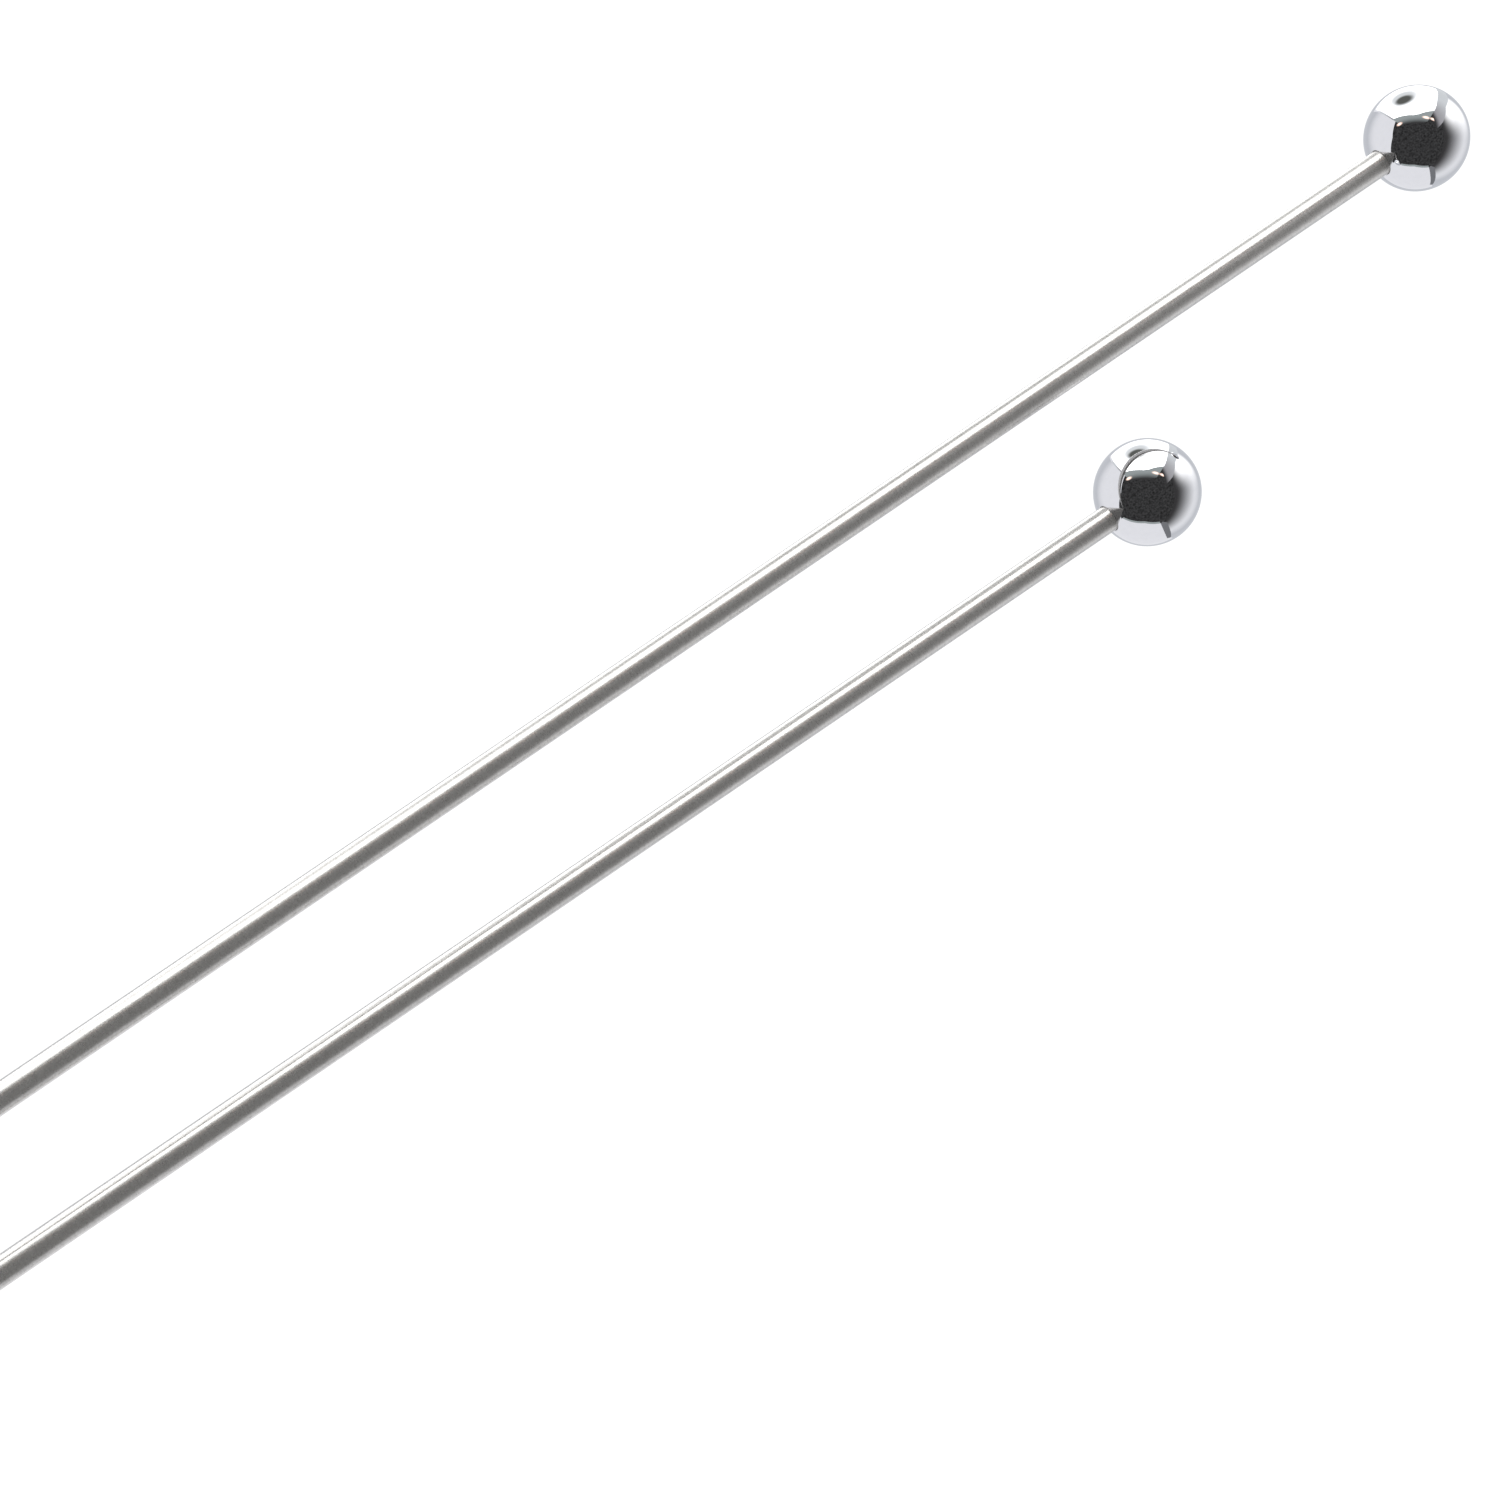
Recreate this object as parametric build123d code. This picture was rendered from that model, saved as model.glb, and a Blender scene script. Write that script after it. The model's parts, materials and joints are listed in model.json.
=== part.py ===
"""A pair of straight knitting needles: hollow stainless shafts with solid points and ball knobs.

The frame: +Z is up from the table that the needles lie on, +X runs along the needles towards
the balls, and the origin is under the middle of the pair, on the table.
"""

import math
import os

from build123d import *

# Driving dimensions, in millimetres and degrees.
SHAFT_DIAMETER = 2.75  # the needle's gauge
OVERALL_LENGTH = 350.0  # from the point to the back of the ball
BALL_DIAMETER = 11.11
TUBE_WALL = 0.40

NOSE_RADIUS = 0.42
TAPER_HALF_ANGLE = 4.2
SHOULDER_BLEND = 60.0  # radius that eases the shaft into the taper
COLLAR_LENGTH = 2.0  # full-diameter length of the point, ahead of the tube
SPIGOT_LENGTH = 8.0

SOCKET_DEPTH = 7.0  # from the ball's surface to the end of the drilled wall
SOCKET_CLEARANCE = 0.015
SOCKET_CHAMFER = 0.12
DRILL_POINT_ANGLE = 118.0
GROOVE_DEPTH = 0.17  # of the glue groove that is turned in the tube
GROOVE_WIDTH = 0.8
GROOVE_INSET = 0.1  # how far inside the socket's mouth the groove starts
PLUG_LENGTH = 12.0
PLUG_CHAMFER = 0.25
BORE_CLEARANCE = 0.01  # of the plug and the spigot in the tube
END_GAP = 0.05  # between the tube's end and the socket's floor

# How the pair lies on the table.
SPACING = 15.5  # between the two balls, across the needles
STAGGER = 46.5  # needle b lies this far ahead of needle a
TOE_IN = 0.75  # needle b's point leans this much towards needle a

SHAFT_RADIUS = SHAFT_DIAMETER / 2
BALL_RADIUS = BALL_DIAMETER / 2
TUBE_BORE_RADIUS = SHAFT_RADIUS - TUBE_WALL
TAPER_ANGLE = math.radians(TAPER_HALF_ANGLE)

# Stations along a needle's own axis: the ball's centre is 0 and the point is towards -X.
TIP_X = BALL_RADIUS - OVERALL_LENGTH
NOSE_CENTRE_X = TIP_X + NOSE_RADIUS
CONE_START_X = NOSE_CENTRE_X - NOSE_RADIUS * math.sin(TAPER_ANGLE)
CONE_START_Y = NOSE_RADIUS * math.cos(TAPER_ANGLE)
CONE_END_Y = SHAFT_RADIUS - SHOULDER_BLEND * (1 - math.cos(TAPER_ANGLE))
CONE_END_X = CONE_START_X + (CONE_END_Y - CONE_START_Y) / math.tan(TAPER_ANGLE)
SHOULDER_X = CONE_END_X + SHOULDER_BLEND * math.sin(TAPER_ANGLE)
SEAM_X = SHOULDER_X + COLLAR_LENGTH
SOCKET_RADIUS = SHAFT_RADIUS + SOCKET_CLEARANCE
MOUTH_RADIUS = SOCKET_RADIUS + SOCKET_CHAMFER
MOUTH_X = -math.sqrt(BALL_RADIUS**2 - MOUTH_RADIUS**2)
GROOVE_X = MOUTH_X + GROOVE_INSET
SOCKET_FLOOR_X = -BALL_RADIUS + SOCKET_DEPTH
TUBE_END_X = SOCKET_FLOOR_X - END_GAP


def rod(start_x, end_x, radius):
    """A round bar along the needle's axis."""
    bar = Cylinder(radius, end_x - start_x, align=(Align.CENTER, Align.CENTER, Align.MIN))
    return Pos(start_x, 0, 0) * Rot(0, 90, 0) * bar


def arc(centre_x, centre_y, radius, start_angle, end_angle):
    """An arc about a centre, with its angles in radians from +X."""
    angles = (start_angle, (start_angle + end_angle) / 2, end_angle)
    return ThreePointArc(
        *((centre_x + radius * math.cos(a), centre_y + radius * math.sin(a)) for a in angles)
    )


def make_shaft_tube():
    """The hollow shaft, with the glue groove that its ball hides."""
    groove = rod(GROOVE_X, GROOVE_X + GROOVE_WIDTH, SHAFT_DIAMETER)
    groove -= rod(GROOVE_X, GROOVE_X + GROOVE_WIDTH, SHAFT_RADIUS - GROOVE_DEPTH)
    bore = rod(SEAM_X, TUBE_END_X, TUBE_BORE_RADIUS)
    return rod(SEAM_X, TUBE_END_X, SHAFT_RADIUS) - bore - groove


def make_point():
    """The solid point: round nose, long taper, collar, and a spigot inside the tube."""
    spigot_end_x = SEAM_X + SPIGOT_LENGTH
    spigot_radius = TUBE_BORE_RADIUS - BORE_CLEARANCE
    nose = arc(NOSE_CENTRE_X, 0, NOSE_RADIUS, math.pi, math.pi / 2 + TAPER_ANGLE)
    cone = Line(nose @ 1, (CONE_END_X, CONE_END_Y))
    blend_centre_y = SHAFT_RADIUS - SHOULDER_BLEND
    blend = arc(SHOULDER_X, blend_centre_y, SHOULDER_BLEND, math.pi / 2 + TAPER_ANGLE, math.pi / 2)
    rear = Polyline(
        blend @ 1,
        (SEAM_X, SHAFT_RADIUS),
        (SEAM_X, spigot_radius),
        (spigot_end_x, spigot_radius),
        (spigot_end_x, 0),
        nose @ 0,
    )
    return revolve(make_face([nose, cone, blend, rear]), Axis.X)


def make_end_plug():
    """The pin that keeps the tube round inside the ball."""
    plug = rod(TUBE_END_X - PLUG_LENGTH, TUBE_END_X, TUBE_BORE_RADIUS - BORE_CLEARANCE)
    inner_rim = plug.edges().filter_by(GeomType.CIRCLE).sort_by(Axis.X)[0]
    return chamfer(inner_rim, PLUG_CHAMFER)


def make_ball_knob():
    """The ball, with a drilled blind socket whose mouth is slightly broken."""
    drill_point = SOCKET_RADIUS / math.tan(math.radians(DRILL_POINT_ANGLE / 2))
    half_section = Polyline(
        (-BALL_DIAMETER, 0),
        (-BALL_DIAMETER, MOUTH_RADIUS),
        (MOUTH_X, MOUTH_RADIUS),
        (MOUTH_X + SOCKET_CHAMFER, SOCKET_RADIUS),
        (SOCKET_FLOOR_X, SOCKET_RADIUS),
        (SOCKET_FLOOR_X + drill_point, 0),
        close=True,
    )
    return Sphere(BALL_RADIUS) - revolve(make_face(half_section), Axis.X)


def resting_tilt():
    """A needle lies on its ball and on the shoulder of its taper, so its point is the low end."""
    to_contact = math.hypot(SHOULDER_X, SHAFT_RADIUS)
    return math.asin(BALL_RADIUS / to_contact) - math.atan2(SHAFT_RADIUS, -SHOULDER_X)


def lay_down(ball_x, ball_y, toe_in):
    """Where a needle lies on the table, as the move from its own axis to the pair's frame."""
    turn = Rot(0, 0, -toe_in) * Rot(0, -math.degrees(resting_tilt()), 0)
    return Pos(ball_x, ball_y, BALL_RADIUS) * turn


def main():
    reach_b = -TIP_X * math.cos(resting_tilt()) * math.cos(math.radians(TOE_IN))
    ball_a_x = (reach_b + STAGGER - BALL_RADIUS) / 2
    places = {
        "a": lay_down(ball_a_x, SPACING / 2, 0),
        "b": lay_down(ball_a_x - STAGGER, -SPACING / 2, TOE_IN),
    }
    pieces = {
        "shaft_tube": make_shaft_tube(),
        "point": make_point(),
        "end_plug": make_end_plug(),
        "ball_knob": make_ball_knob(),
    }
    os.makedirs("parts", exist_ok=True)
    for needle, place in places.items():
        for name, piece in pieces.items():
            export_step(place * piece, f"parts/{name}_{needle}.step")


main()
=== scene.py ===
import json
import math

import bmesh
import bpy
from mathutils import Matrix, Vector


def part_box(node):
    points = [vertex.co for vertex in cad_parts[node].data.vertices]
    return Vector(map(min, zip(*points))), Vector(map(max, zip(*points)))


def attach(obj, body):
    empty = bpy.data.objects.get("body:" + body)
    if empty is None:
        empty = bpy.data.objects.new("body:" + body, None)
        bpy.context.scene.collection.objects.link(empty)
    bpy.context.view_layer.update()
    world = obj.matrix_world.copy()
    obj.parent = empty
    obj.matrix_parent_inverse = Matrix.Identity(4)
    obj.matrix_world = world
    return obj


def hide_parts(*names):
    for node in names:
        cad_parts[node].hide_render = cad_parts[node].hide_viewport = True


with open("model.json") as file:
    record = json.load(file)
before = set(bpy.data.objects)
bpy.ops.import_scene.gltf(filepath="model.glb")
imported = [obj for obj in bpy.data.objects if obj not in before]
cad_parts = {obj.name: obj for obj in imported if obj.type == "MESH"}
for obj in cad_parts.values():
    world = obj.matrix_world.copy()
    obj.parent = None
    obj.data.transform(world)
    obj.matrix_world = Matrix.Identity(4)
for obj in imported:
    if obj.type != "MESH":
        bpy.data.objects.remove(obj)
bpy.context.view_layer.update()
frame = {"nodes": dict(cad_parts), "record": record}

MM = 0.001

# The needle's own shape, along its axis: the ball's centre is 0 and the point is towards -X.
MOUNTS = {mount["name"]: mount for mount in frame["record"]["mounts"]}
SHAFT_RADIUS = MOUNTS["shaft_a"]["dims"]["r_mm"] * MM
BALL_RADIUS = 5.555 * MM
OVERALL_LENGTH = 350 * MM
TUBE_BORE_RADIUS = SHAFT_RADIUS - 0.40 * MM
NOSE_RADIUS = 0.42 * MM
TAPER_ANGLE = math.radians(4.2)
SHOULDER_BLEND = 60 * MM
COLLAR_LENGTH = 2 * MM
SPIGOT_LENGTH = 8 * MM
BORE_CLEARANCE = 0.01 * MM
SOCKET_RADIUS = SHAFT_RADIUS + 0.015 * MM
SOCKET_DEPTH = 7 * MM
MOUTH_ROUND = 0.12 * MM
DRILL_ANGLE = math.radians(118)
GROOVE_DEPTH = 0.17 * MM
GROOVE_WIDTH = 0.8 * MM
GROOVE_INSET = 0.1 * MM
END_GAP = 0.05 * MM
EDGE_BREAK = 0.02 * MM  # on the tube's two ends and the point's collar

NOSE_CENTRE_X = BALL_RADIUS - OVERALL_LENGTH + NOSE_RADIUS
CONE_START = (
    NOSE_CENTRE_X - NOSE_RADIUS * math.sin(TAPER_ANGLE),
    NOSE_RADIUS * math.cos(TAPER_ANGLE),
)
CONE_END_Y = SHAFT_RADIUS - SHOULDER_BLEND * (1 - math.cos(TAPER_ANGLE))
CONE_END_X = CONE_START[0] + (CONE_END_Y - CONE_START[1]) / math.tan(TAPER_ANGLE)
SHOULDER_X = CONE_END_X + SHOULDER_BLEND * math.sin(TAPER_ANGLE)
SEAM_X = SHOULDER_X + COLLAR_LENGTH
MOUTH_X = -math.sqrt(BALL_RADIUS**2 - (SOCKET_RADIUS + MOUTH_ROUND) ** 2)
SOCKET_FLOOR_X = SOCKET_DEPTH - BALL_RADIUS
TUBE_END_X = SOCKET_FLOOR_X - END_GAP

SEGMENTS = 128
BALL_RINGS = 112
ARC_STEPS = 10
SHARP_ANGLE = math.radians(20)
ON_AXIS = 1e-6 * MM  # an outline point nearer the axis than this is on it

# Where most of a noise texture's values lie, which is spread over a material's whole range.
FINE_NOISE_RANGE = (0.25, 0.75)
BROAD_NOISE_RANGE = (0.3, 0.7)
FINE_NOISE_DETAIL = 3.0
BROAD_NOISE_SIZE = 2  # times the fine noise's size
QUARTER_TURN = 0.25  # anisotropic rotation, as a part of a full turn

# The camera, and the studio around it.
LOOK_AHEAD = 73.0 * MM  # from between the balls towards the points
LOOK_ASIDE = -8.28 * MM
CAMERA_DISTANCE = 348.0 * MM
CAMERA_AZIMUTH = math.radians(130.42)
CAMERA_ELEVATION = math.radians(58.89)
CAMERA_ROLL = math.radians(108.71)
LENS_MM = 84

FLOOR_SIZE = 6.0
FLOOR_SQUARES = 8
FLOOR_ALBEDO = 0.12
FLOOR_GLOW = 0.95
SKY_WHITE = 1.2
ROOM_SHADES = (0.018, 0.018, 0.018), (0.072, 0.072, 0.073)
ROOM_CLUTTER = 16.0

# Colours of the light tent's cloth, its frame and what shows in it, as emitted light.
ROOM_DARK = (0.050, 0.049, 0.050)
WHITE = (3.2, 3.2, 3.2)
PALE = (0.97, 0.975, 1.01)
SIDE_PALE = (0.95, 0.96, 0.99)
SIDE_WHITE = (1.7, 1.7, 1.7)
RIM_PALE = (0.66, 0.68, 0.72)
PATCH = (0.90, 0.93, 0.94)
FRAME_GREY = (0.40, 0.44, 0.44)
CORNER_PALE = (0.80, 0.83, 0.85)
CORNER_GREY = (0.42, 0.41, 0.43)
SEAM_GREY = (0.22, 0.225, 0.24)
PORT_DARK = (0.13, 0.135, 0.125)
WARM_LAMP = (2.5, 1.8, 1.5)

# The light tent, in its own axes: its front opening looks along +Z at the camera, +X is the
# camera's right and +Y is up in its view. Its walls light only what the steel reflects.
TENT_SCALE = 2.2
TENT_BACK = -1.0
TENT_LEFT, TENT_RIGHT = -0.55, 0.26
TENT_TOP, TENT_BOTTOM = 0.415, -0.59
STRIP_GAP = 0.001  # between a wall and a strip that lies on it

# Each wall's front edge as (across, forward) points, where the cloth ends at the opening.
LEFT_EDGE = ((TENT_BOTTOM, 0.12), (-0.43, 0.20), (0.0, 0.383), (TENT_TOP, 0.383))
RIGHT_EDGE = ((TENT_BOTTOM, 0.115), (TENT_TOP, 0.175))
TOP_EDGE = ((TENT_LEFT, 0.24), (-0.07, 0.35), (0.03, 0.33), (TENT_RIGHT, 0.17))
BOTTOM_EDGE = ((TENT_LEFT, 0.17), (-0.04, 0.26), (TENT_RIGHT, 0.176))
TOP_FRAME, BOTTOM_FRAME = 0.42, 0.06  # how far the grey frame reaches past the cloth

# The strips on the walls, as (x, z) on the top and bottom walls and (y, z) on the right one.
CORNER_ON_TOP = ((0.141, TENT_BACK), (0.207, -0.14), (0.26, 0.15), (0.26, TENT_BACK))
CORNER_ON_RIGHT = (
    (TENT_TOP, TENT_BACK),
    (0.395, -0.709),
    (0.285, -0.06),
    (0.16, 0.13),
    (0.11, 0.29),
    (TENT_TOP, 0.29),
)
SEAM_ON_RIGHT = ((-0.488, 0.168), (-0.3955, 0.073), (-0.592, -0.703), (-0.59, 0.17))
SEAM_ON_BOTTOM = ((0.217, -0.58), (0.26, 0.17), (0.26, -0.7))
LEFT_STRIP = ((TENT_LEFT, 0.24), (-0.51, 0.25), (-0.51, -0.35), (TENT_LEFT, -0.35))

# Where the colours on a wall change. A soft width is how far each side of an edge they blend.
SOFTBOX_X, SOFTBOX_X_SOFT = (-0.50, 0.25), 0.012
SOFTBOX_Z, SOFTBOX_Z_SOFT = (-0.75, 0.50), 0.05
PORT_PLACE, PORT_RADIUS, PORT_SOFT = (-0.14, -0.06), 0.10, 0.035
PATCH_PLACE, PATCH_RADIUS, PATCH_SOFT = (-0.14, -0.13), 0.18, 0.09
PATCH_STRETCH = 0.75
RIGHT_SPLIT_Y, RIGHT_SPLIT_SOFT = 0.10, 0.10
RIGHT_WHITE_Z, RIGHT_WHITE_SOFT = -0.34, 0.14
RIGHT_HIGH_DARK_Z, RIGHT_HIGH_DARK_SOFT = 0.06, 0.09
RIGHT_LOW_DARK_Z, RIGHT_LOW_DARK_SOFT = -0.03, 0.15
RIGHT_REAR_Z, RIGHT_REAR_SOFT = -0.28, 0.15
LEFT_REAR_Z, LEFT_REAR_SOFT = -0.35, 0.25
CORNER_GREY_Z, CORNER_GREY_SOFT = 0.03, 0.20
CORNER_DARK_Z, CORNER_DARK_SOFT = 0.22, 0.06
FRAME_DARK_Z, FRAME_DARK_SOFT = 0.53, 0.17

LAMP_DEPTH = 0.33
LAMPS = {"left": (-0.311, 0.239), "middle": (0.143, 0.330), "right": (0.275, 0.322)}
LAMP_RADIUS = 0.088
LAMP_SQUASH = 0.55
LAMP_FADE, LAMP_FADE_SOFT = 0.6 * LAMP_RADIUS, 0.4 * LAMP_RADIUS


# ---- mesh helpers ----

def arc_points(centre_x, centre_y, radius, start, end, steps=ARC_STEPS):
    """Points of an arc in the (along, radius) half-plane, its angles in radians from +X."""
    angles = [start + (end - start) * i / steps for i in range(steps + 1)]
    return [(centre_x + radius * math.cos(a), centre_y + radius * math.sin(a)) for a in angles]


def add_ring(bm, x, radius):
    """A ring of vertices about the axis, or one vertex where the outline meets the axis."""
    if radius < ON_AXIS:
        return [bm.verts.new((x, 0, 0))]
    turn = 2 * math.pi / SEGMENTS
    return [
        bm.verts.new((x, radius * math.cos(i * turn), radius * math.sin(i * turn)))
        for i in range(SEGMENTS)
    ]


def join_rings(bm, first, second):
    """Faces between two rings; one or both may be a single vertex."""
    for i in range(SEGMENTS):
        corners = [first[i % len(first)], first[(i + 1) % len(first)]]
        corners += [second[(i + 1) % len(second)], second[i % len(second)]]
        distinct = list(dict.fromkeys(corners))
        if len(distinct) > 2:
            bm.faces.new(distinct)


def lathe(name, outline, closed=False):
    """A solid of revolution about X from (along, radius) points; closed makes a tube."""
    bm = bmesh.new()
    rings = [add_ring(bm, x, radius) for x, radius in outline]
    followers = rings[1:] + (rings[:1] if closed else [])
    for first, second in zip(rings, followers):
        join_rings(bm, first, second)
    bmesh.ops.recalc_face_normals(bm, faces=bm.faces)
    for face in bm.faces:
        face.smooth = True
    for edge in bm.edges:
        edge.smooth = edge.calc_face_angle(0) < SHARP_ANGLE
    mesh = bpy.data.meshes.new(name)
    bm.to_mesh(mesh)
    bm.free()
    piece = bpy.data.objects.new(name, mesh)
    bpy.context.scene.collection.objects.link(piece)
    return piece


# ---- the pieces of a needle ----

def make_ball(name):
    """The ball with its drilled socket, whose mouth is rounded over."""
    lip_centre_y = SOCKET_RADIUS + MOUTH_ROUND
    lip_angle = math.pi - math.asin(lip_centre_y / BALL_RADIUS)
    sphere = arc_points(0, 0, BALL_RADIUS, 0, lip_angle, BALL_RINGS)
    lip = arc_points(MOUTH_X + MOUTH_ROUND, lip_centre_y, MOUTH_ROUND, math.pi, 1.5 * math.pi)
    floor = (SOCKET_FLOOR_X, SOCKET_RADIUS)
    drill_point = (SOCKET_FLOOR_X + SOCKET_RADIUS / math.tan(DRILL_ANGLE / 2), 0)
    return lathe(name, sphere + lip[1:] + [floor, drill_point])


def make_tube(name):
    """The hollow shaft, its ends just broken, with the glue groove inside the ball."""
    groove_x = MOUTH_X + GROOVE_INSET
    groove_radius = SHAFT_RADIUS - GROOVE_DEPTH
    outline = [
        (SEAM_X, TUBE_BORE_RADIUS),
        (SEAM_X, SHAFT_RADIUS - EDGE_BREAK),
        (SEAM_X + EDGE_BREAK, SHAFT_RADIUS),
        (groove_x, SHAFT_RADIUS),
        (groove_x, groove_radius),
        (groove_x + GROOVE_WIDTH, groove_radius),
        (groove_x + GROOVE_WIDTH, SHAFT_RADIUS),
        (TUBE_END_X - EDGE_BREAK, SHAFT_RADIUS),
        (TUBE_END_X, SHAFT_RADIUS - EDGE_BREAK),
        (TUBE_END_X, TUBE_BORE_RADIUS),
    ]
    return lathe(name, outline, closed=True)


def make_point(name):
    """The solid point: round nose, long taper eased into the collar, and a hidden spigot."""
    taper_normal = math.pi / 2 + TAPER_ANGLE
    nose = arc_points(NOSE_CENTRE_X, 0, NOSE_RADIUS, math.pi, taper_normal)
    blend_centre_y = SHAFT_RADIUS - SHOULDER_BLEND
    blend = arc_points(SHOULDER_X, blend_centre_y, SHOULDER_BLEND, taper_normal, math.pi / 2)
    spigot_radius = TUBE_BORE_RADIUS - BORE_CLEARANCE
    rear = [
        (SEAM_X - EDGE_BREAK, SHAFT_RADIUS),
        (SEAM_X, SHAFT_RADIUS - EDGE_BREAK),
        (SEAM_X, spigot_radius),
        (SEAM_X + SPIGOT_LENGTH, spigot_radius),
        (SEAM_X + SPIGOT_LENGTH, 0),
    ]
    return lathe(name, nose + blend + rear)


# ---- materials ----

def as_colour(value):
    """A colour for a socket, from a triple or another socket."""
    return value if isinstance(value, bpy.types.NodeSocket) else (*value, 1)


class Nodes:
    """A node tree with short calls for adding and joining nodes."""

    def __init__(self, tree):
        self.tree = tree
        tree.nodes.clear()

    def add(self, kind, inputs=None, **settings):
        node = self.tree.nodes.new(kind)
        for key, value in settings.items():
            setattr(node, key, value)
        for key, value in (inputs or {}).items():
            if isinstance(value, bpy.types.NodeSocket):
                self.tree.links.new(value, node.inputs[key])
            else:
                node.inputs[key].default_value = value
        return node

    def math(self, operation, *values):
        node = self.add("ShaderNodeMath", dict(enumerate(values)), operation=operation)
        return node.outputs[0]

    def spread(self, value, low, high, low_in=0.0, high_in=1.0):
        """A value carried from one range to another."""
        inputs = {0: value, 1: low_in, 2: high_in, 3: low, 4: high}
        node = self.add("ShaderNodeMapRange", inputs)
        return node.outputs[0]

    def mix(self, factor, first, second):
        """One colour turning into another; each is a triple or a socket."""
        inputs = {0: factor, 6: as_colour(first), 7: as_colour(second)}
        node = self.add("ShaderNodeMix", inputs, data_type="RGBA")
        return node.outputs[2]

    def past(self, value, edge, soft):
        """0 before the edge and 1 past it, turning smoothly over the soft width each side."""
        inputs = {0: value, 1: edge - soft, 2: edge + soft, 3: 0.0, 4: 1.0}
        node = self.add("ShaderNodeMapRange", inputs, interpolation_type="SMOOTHSTEP")
        return node.outputs[0]

    def before(self, value, edge, soft):
        """1 before the edge and 0 past it."""
        return self.math("SUBTRACT", 1.0, self.past(value, edge, soft))

    def between(self, value, low, high, soft):
        past_low = self.past(value, low, soft)
        past_high = self.past(value, high, soft)
        return self.math("SUBTRACT", past_low, past_high)

    def distance(self, first, second, centre):
        """How far two coordinates are from a centre."""
        legs = [self.math("SUBTRACT", v, c) for v, c in zip((first, second), centre)]
        squares = [self.math("MULTIPLY", leg, leg) for leg in legs]
        return self.math("SQRT", self.math("ADD", *squares))

    def noise(self, coordinates, scale, detail=2.0):
        """Noise whose grain has its own scale along each axis."""
        stretch = self.add("ShaderNodeMapping", {"Vector": coordinates, "Scale": scale})
        texture = self.add(
            "ShaderNodeTexNoise",
            {"Vector": stretch.outputs[0], "Scale": 1.0, "Detail": detail},
        )
        return texture.outputs["Fac"]


def new_material(name):
    material = bpy.data.materials.new(name)
    material.use_nodes = True
    return material, Nodes(material.node_tree)


def steel_material(name, tints, roughness, grain, grain_height, round_grain=0.0, metallic=1.0):
    """Bare steel. tints and roughness are (low, high); grain is its pitch along and round the
    needle, in metres; round_grain is how much more a reflection blurs along the needle."""
    material, nodes = new_material(name)
    place = nodes.add("ShaderNodeTexCoord").outputs["Object"]
    fine_scale = (1 / grain[0], 1 / grain[1], 1 / grain[1])
    fine = nodes.noise(place, fine_scale, FINE_NOISE_DETAIL)
    broad = nodes.noise(place, tuple(scale / BROAD_NOISE_SIZE for scale in fine_scale))
    tint = nodes.mix(nodes.spread(broad, 0, 1, *BROAD_NOISE_RANGE), *tints)
    bump = nodes.add(
        "ShaderNodeBump", {"Height": fine, "Strength": 1.0, "Distance": grain_height}
    )
    inputs = {
        "Base Color": tint,
        "Metallic": metallic,
        "Roughness": nodes.spread(fine, *roughness, *FINE_NOISE_RANGE),
        "Normal": bump.outputs[0],
    }
    if round_grain:
        inputs["Anisotropic"] = round_grain
        inputs["Anisotropic Rotation"] = QUARTER_TURN
        round_axis = nodes.add("ShaderNodeTangent", direction_type="RADIAL", axis="X")
        inputs["Tangent"] = round_axis.outputs[0]
    shader = nodes.add("ShaderNodeBsdfPrincipled", inputs)
    nodes.add("ShaderNodeOutputMaterial", {"Surface": shader.outputs[0]})
    return material


SATIN = steel_material(
    "satin_ground_steel",
    tints=((0.570, 0.557, 0.538), (0.675, 0.662, 0.642)),
    roughness=(0.26, 0.31),
    grain=(0.12 * MM, 0.35 * MM),
    grain_height=0.0002 * MM,
    round_grain=0.9,
    metallic=0.85,  # under 1, as a choice of look: it lifts the dark reflections
)
MIRROR = steel_material(
    "mirror_polished_steel",
    tints=((0.735, 0.737, 0.755), (0.755, 0.757, 0.775)),
    roughness=(0.012, 0.035),
    grain=(0.5 * MM, 0.25 * MM),
    grain_height=0.00002 * MM,
)
TURNED = steel_material(
    "turned_plug_steel",
    tints=((0.42, 0.42, 0.42), (0.50, 0.50, 0.49)),
    roughness=(0.35, 0.45),
    grain=(0.08 * MM, 2.0 * MM),
    grain_height=0.004 * MM,
)


# ---- the needles ----

def needle_place(needle):
    """From the needle's own axis to the frame: where its ball is and which way it points."""
    low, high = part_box(f"ball_knob_{needle}")
    towards_ball = -Vector(MOUNTS[f"shaft_{needle}"]["axis"])
    across = Vector((0, 0, 1)).cross(towards_ball).normalized()
    up = towards_ball.cross(across)
    turn = Matrix((towards_ball, across, up)).transposed().to_4x4()
    return Matrix.Translation((low + high) / 2) @ turn


def build_needle(needle):
    body = f"needle_{needle}"
    place = needle_place(needle)
    parts = [
        ("ball_knob", make_ball, MIRROR, "polished_steel"),
        ("shaft_tube", make_tube, SATIN, "satin_steel"),
        ("point", make_point, SATIN, "satin_steel"),
    ]
    for part, make, material, slot in parts:
        piece = make(f"{part}_surface_{needle}")
        piece.data.materials.append(material)
        piece.matrix_world = place
        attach(piece, body)
        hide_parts(f"{part}_{needle}")
    plug = frame["nodes"][f"end_plug_{needle}"]
    plug.material_slots[0].material = TURNED


# ---- camera ----

def between_balls():
    corners = [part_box(f"ball_knob_{needle}") for needle in "ab"]
    return sum((low + high for low, high in corners), Vector()) / 4


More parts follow.
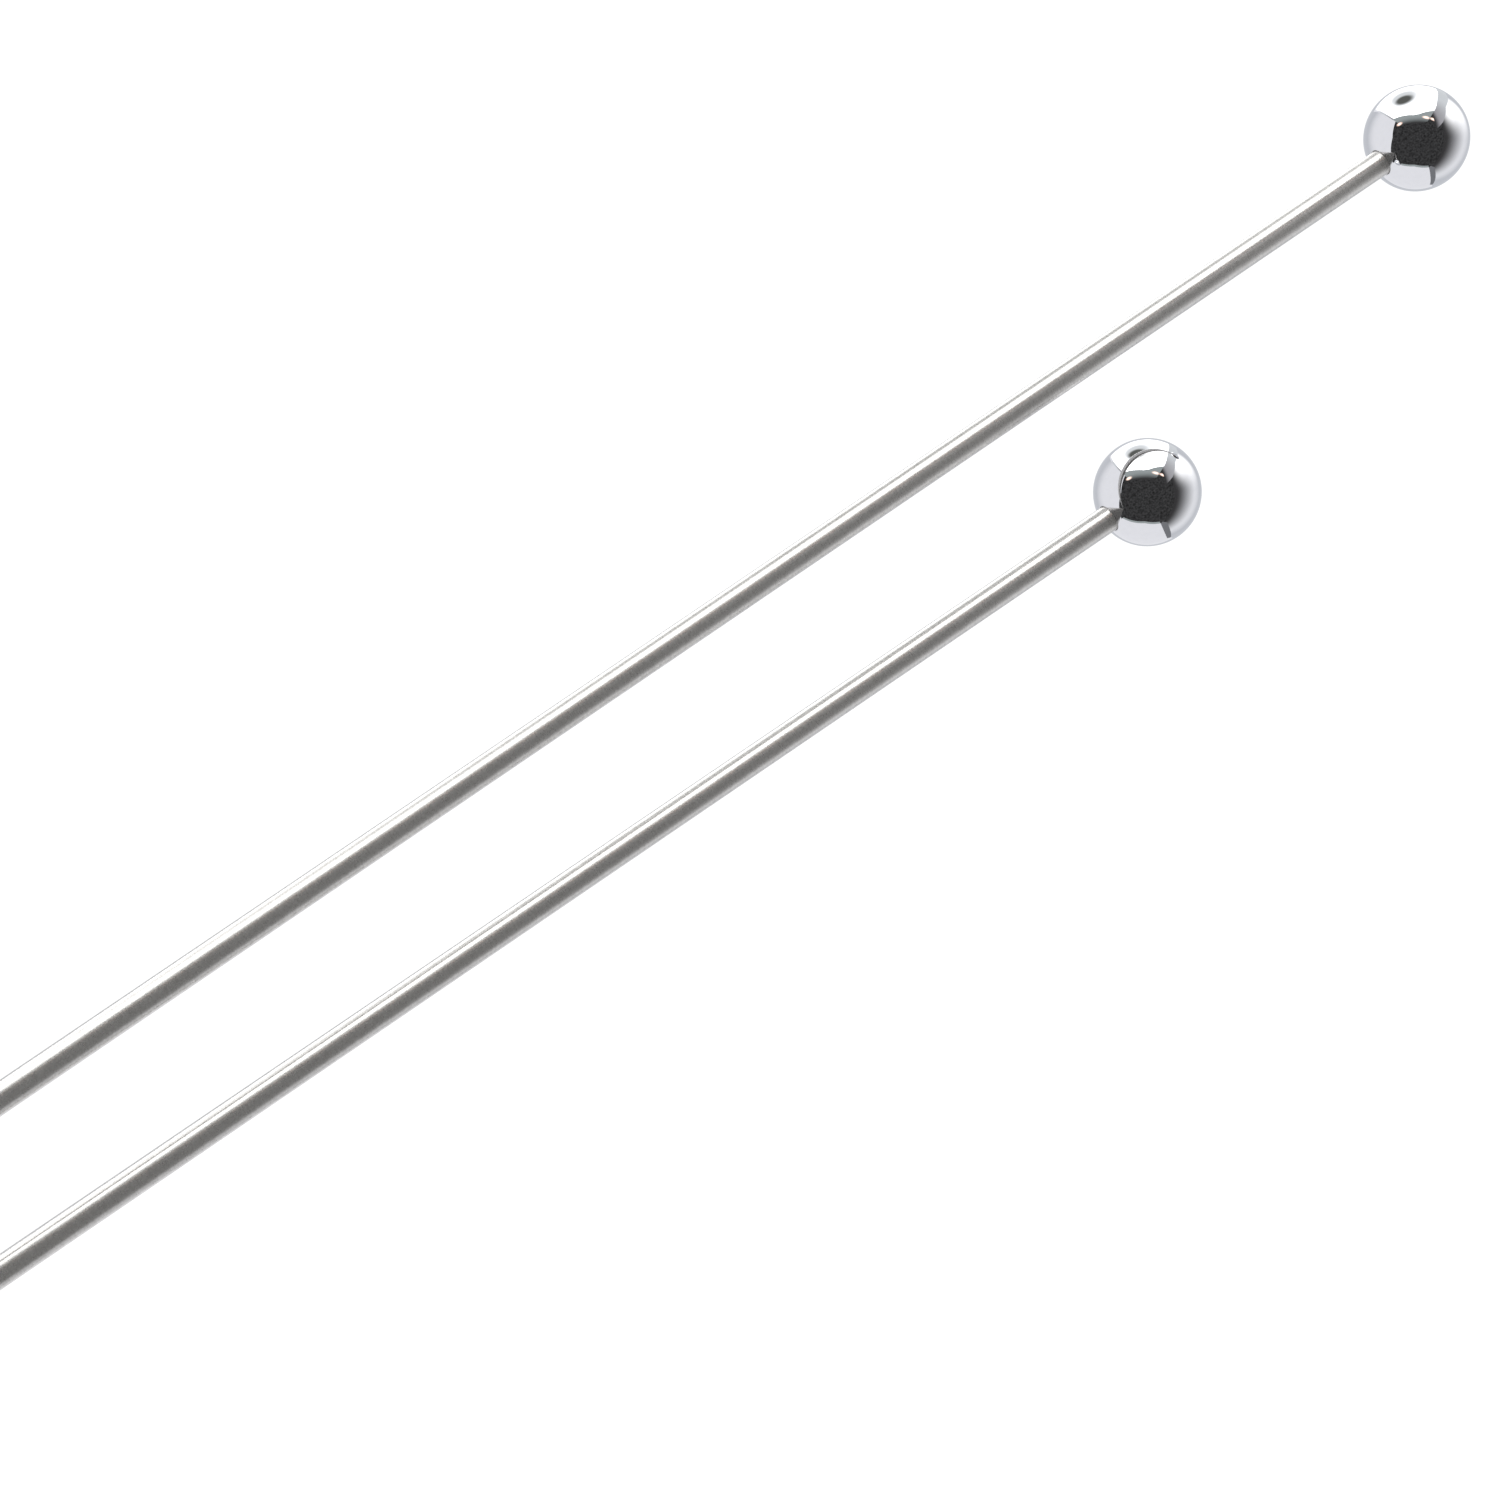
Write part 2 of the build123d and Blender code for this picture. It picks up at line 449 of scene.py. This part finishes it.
def place_camera():
    """The camera over the needles, rolled; returns where it stands and its right direction."""
    middle = between_balls()
    target = Vector((middle.x - LOOK_AHEAD, middle.y + LOOK_ASIDE, 0))
    back = Vector((
        math.cos(CAMERA_ELEVATION) * math.cos(CAMERA_AZIMUTH),
        math.cos(CAMERA_ELEVATION) * math.sin(CAMERA_AZIMUTH),
        math.sin(CAMERA_ELEVATION),
    ))
    level = Vector((0, 0, 1)).cross(back).normalized()
    rise = back.cross(level)
    right = level * math.cos(CAMERA_ROLL) + rise * math.sin(CAMERA_ROLL)
    up = back.cross(right)
    camera = bpy.data.objects.new("camera", bpy.data.cameras.new("camera"))
    bpy.context.scene.collection.objects.link(camera)
    turn = Matrix((right, up, back)).transposed().to_4x4()
    camera.matrix_world = Matrix.Translation(target + back * CAMERA_DISTANCE) @ turn
    camera.data.lens = LENS_MM
    camera.data.clip_start = 0.01
    camera.data.clip_end = 100
    bpy.context.scene.camera = camera
    return camera.matrix_world.translation.copy(), right


# ---- the studio ----

def make_floor():
    """A pale floor, its glow and the sky's light together just over white, not in reflections."""
    bm = bmesh.new()
    squares = {"x_segments": FLOOR_SQUARES, "y_segments": FLOOR_SQUARES}
    bmesh.ops.create_grid(bm, size=FLOOR_SIZE / 2, **squares)
    mesh = bpy.data.meshes.new("floor")
    bm.to_mesh(mesh)
    bm.free()
    floor = bpy.data.objects.new("floor", mesh)
    bpy.context.scene.collection.objects.link(floor)
    material, nodes = new_material("white_floor")
    paint = nodes.add("ShaderNodeBsdfDiffuse", {"Color": (*[FLOOR_ALBEDO] * 3, 1)})
    glow = nodes.add("ShaderNodeEmission", {"Color": (1, 1, 1, 1), "Strength": FLOOR_GLOW})
    lit = nodes.add("ShaderNodeAddShader", {0: paint.outputs[0], 1: glow.outputs[0]})
    nodes.add("ShaderNodeOutputMaterial", {"Surface": lit.outputs[0]})
    floor.data.materials.append(material)
    floor.visible_glossy = False


def make_sky():
    """White for the floor and the background; dark where the steel looks past the tent."""
    world = bpy.data.worlds.new("studio")
    bpy.context.scene.world = world
    world.use_nodes = True
    nodes = Nodes(world.node_tree)
    path = nodes.add("ShaderNodeLightPath")
    white = nodes.add("ShaderNodeBackground", {"Color": (1, 1, 1, 1), "Strength": SKY_WHITE})
    direction = nodes.add("ShaderNodeTexCoord").outputs["Generated"]
    clutter = nodes.noise(direction, (ROOM_CLUTTER,) * 3)
    gloom = nodes.mix(nodes.spread(clutter, 0, 1, *BROAD_NOISE_RANGE), *ROOM_SHADES)
    room = nodes.add("ShaderNodeBackground", {"Color": gloom, "Strength": 1.0})
    choice = nodes.add(
        "ShaderNodeMixShader",
        {0: path.outputs["Is Glossy Ray"], 1: white.outputs[0], 2: room.outputs[0]},
    )
    nodes.add("ShaderNodeOutputWorld", {"Surface": choice.outputs[0]})


def wall_material(name, base, layers):
    """A lit cloth panel. layers(nodes, x, y, z) gives (mask, colour) pairs, painted in turn."""
    material, nodes = new_material(name)
    place = nodes.add("ShaderNodeTexCoord").outputs["Object"]
    x, y, z = nodes.add("ShaderNodeSeparateXYZ", {0: place}).outputs
    colour = base
    for mask, paint in layers(nodes, x, y, z):
        colour = nodes.mix(mask, colour, paint)
    glow = nodes.add("ShaderNodeEmission", {"Color": as_colour(colour), "Strength": 1.0})
    nodes.add("ShaderNodeOutputMaterial", {"Surface": glow.outputs[0]})
    return material


def top_layers(nodes, x, y, z):
    """A white softbox with a dark round port in a grey patch."""
    across = nodes.between(x, *SOFTBOX_X, SOFTBOX_X_SOFT)
    along = nodes.between(z, *SOFTBOX_Z, SOFTBOX_Z_SOFT)
    softbox = nodes.math("MULTIPLY", across, along)
    shortened = nodes.math("MULTIPLY", z, PATCH_STRETCH)
    patch_centre = (PATCH_PLACE[0], PATCH_PLACE[1] * PATCH_STRETCH)
    from_patch = nodes.distance(x, shortened, patch_centre)
    patch = nodes.before(from_patch, PATCH_RADIUS, PATCH_SOFT)
    port = nodes.before(nodes.distance(x, z, PORT_PLACE), PORT_RADIUS, PORT_SOFT)
    return [(softbox, WHITE), (patch, PATCH), (port, PORT_DARK)]


def right_layers(nodes, x, y, z):
    """White in its upper part, and open to the dark room further back in its lower part."""
    high = nodes.past(y, RIGHT_SPLIT_Y, RIGHT_SPLIT_SOFT)
    white = nodes.math("MULTIPLY", high, nodes.past(z, RIGHT_WHITE_Z, RIGHT_WHITE_SOFT))
    dark_high = nodes.past(z, RIGHT_HIGH_DARK_Z, RIGHT_HIGH_DARK_SOFT)
    dark_low = nodes.past(z, RIGHT_LOW_DARK_Z, RIGHT_LOW_DARK_SOFT)
    dark = nodes.spread(high, dark_low, dark_high)
    rear = nodes.before(z, RIGHT_REAR_Z, RIGHT_REAR_SOFT)
    return [(rear, RIM_PALE), (white, SIDE_WHITE), (dark, ROOM_DARK)]


def left_layers(nodes, x, y, z):
    return [(nodes.before(z, LEFT_REAR_Z, LEFT_REAR_SOFT), RIM_PALE)]


def plain_layers(nodes, x, y, z):
    return []


def corner_layers(nodes, x, y, z):
    grey = nodes.past(z, CORNER_GREY_Z, CORNER_GREY_SOFT)
    dark = nodes.past(z, CORNER_DARK_Z, CORNER_DARK_SOFT)
    return [(grey, CORNER_GREY), (dark, ROOM_DARK)]


def frame_layers(nodes, x, y, z):
    return [(nodes.past(z, FRAME_DARK_Z, FRAME_DARK_SOFT), ROOM_DARK)]


def lamp_material():
    """A warm lamp seen through soft cloth, fading out to nothing at its rim."""
    material, nodes = new_material("warm_lamp")
    place = nodes.add("ShaderNodeTexCoord").outputs["Object"]
    x, y, z = nodes.add("ShaderNodeSeparateXYZ", {0: place}).outputs
    rim = nodes.past(nodes.distance(x, y, (0, 0)), LAMP_FADE, LAMP_FADE_SOFT)
    glow = nodes.add("ShaderNodeEmission", {"Color": (*WARM_LAMP, 1), "Strength": 1.0})
    clear = nodes.add("ShaderNodeBsdfTransparent")
    fade = nodes.add("ShaderNodeMixShader", {0: rim, 1: glow.outputs[0], 2: clear.outputs[0]})
    nodes.add("ShaderNodeOutputMaterial", {"Surface": fade.outputs[0]})
    return material


def make_card(name, corners, material, tent):
    """A flat light or wall that shows only in reflections."""
    mesh = bpy.data.meshes.new(name)
    mesh.from_pydata(corners, [], [tuple(range(len(corners)))])
    mesh.materials.append(material)
    card = bpy.data.objects.new(name, mesh)
    bpy.context.scene.collection.objects.link(card)
    card.matrix_world = tent
    card.visible_camera = False
    card.visible_diffuse = False
    card.visible_shadow = False
    card.visible_transmission = False


def tent_axes(eye, right):
    """From the tent's axes to the frame, with the tent's middle between the two balls."""
    centre = between_balls()
    facing = (eye - centre).normalized()
    side = (right - facing * right.dot(facing)).normalized()
    rise = facing.cross(side)
    turn = Matrix((side, rise, facing)).transposed().to_4x4()
    return Matrix.Translation(centre) @ turn @ Matrix.Scale(TENT_SCALE, 4)


def make_tent(tent):
    x0, x1, y0, y1, back = TENT_LEFT, TENT_RIGHT, TENT_BOTTOM, TENT_TOP, TENT_BACK
    left = [(x0, y, z) for y, z in LEFT_EDGE] + [(x0, y1, back), (x0, y0, back)]
    right = [(x1, y, z) for y, z in RIGHT_EDGE] + [(x1, y1, back), (x1, y0, back)]
    top = [(x, y1, z) for x, z in TOP_EDGE] + [(x1, y1, back), (x0, y1, back)]
    bottom = [(x, y0, z) for x, z in BOTTOM_EDGE] + [(x1, y0, back), (x0, y0, back)]
    rear = [(x0, y0, back), (x0, y1, back), (x1, y1, back), (x1, y0, back)]
    make_card("tent_left", left, wall_material("left_cloth", PALE, left_layers), tent)
    make_card("tent_right", right, wall_material("right_cloth", SIDE_PALE, right_layers), tent)
    make_card("tent_top", top, wall_material("top_cloth", PALE, top_layers), tent)
    pale = wall_material("pale_cloth", PALE, plain_layers)
    make_card("tent_bottom", bottom, pale, tent)
    make_card("tent_rear", rear, wall_material("rear_cloth", RIM_PALE, plain_layers), tent)


def frame_strip(edge, y, depth):
    """A strip that goes on forward from a wall's front edge."""
    near = [(x, y, z) for x, z in edge]
    return near + [(x, y, z + depth) for x, z in reversed(edge)]


def make_tent_frame(tent):
    """The grey frame round the opening, and the corner and seam strips on the walls."""
    grey = wall_material("frame_grey", FRAME_GREY, frame_layers)
    make_card("top_frame", frame_strip(TOP_EDGE, TENT_TOP, TOP_FRAME), grey, tent)
    make_card("bottom_frame", frame_strip(BOTTOM_EDGE, TENT_BOTTOM, BOTTOM_FRAME), grey, tent)
    on_top, on_bottom = TENT_TOP - STRIP_GAP, TENT_BOTTOM + STRIP_GAP
    on_right = TENT_RIGHT - STRIP_GAP
    corner = wall_material("corner_grey", CORNER_PALE, corner_layers)
    seam = wall_material("seam_grey", SEAM_GREY, plain_layers)
    strips = [
        ("corner_strip_top", [(x, on_top, z) for x, z in CORNER_ON_TOP], corner),
        ("corner_strip_right", [(on_right, y, z) for y, z in CORNER_ON_RIGHT], corner),
        ("seam_strip_right", [(on_right, y, z) for y, z in SEAM_ON_RIGHT], seam),
        ("seam_strip_bottom", [(x, on_bottom, z) for x, z in SEAM_ON_BOTTOM], seam),
        ("left_strip", [(x, on_top, z) for x, z in LEFT_STRIP], corner),
    ]
    for name, corners, material in strips:
        make_card(name, corners, material, tent)


def make_lamps(tent):
    material = lamp_material()
    r = LAMP_RADIUS
    corners = [(-r, -r, 0), (r, -r, 0), (r, r, 0), (-r, r, 0)]
    squash = Matrix.Diagonal((1, LAMP_SQUASH, 1, 1))
    for name, (x, y) in LAMPS.items():
        place = tent @ Matrix.Translation((x, y, LAMP_DEPTH)) @ squash
        make_card(f"lamp_{name}", corners, material, place)


for needle in "ab":
    build_needle(needle)
camera_eye, camera_right = place_camera()
make_floor()
make_sky()
tent_place = tent_axes(camera_eye, camera_right)
make_tent(tent_place)
make_tent_frame(tent_place)
make_lamps(tent_place)
bpy.context.scene.view_settings.view_transform = "Standard"
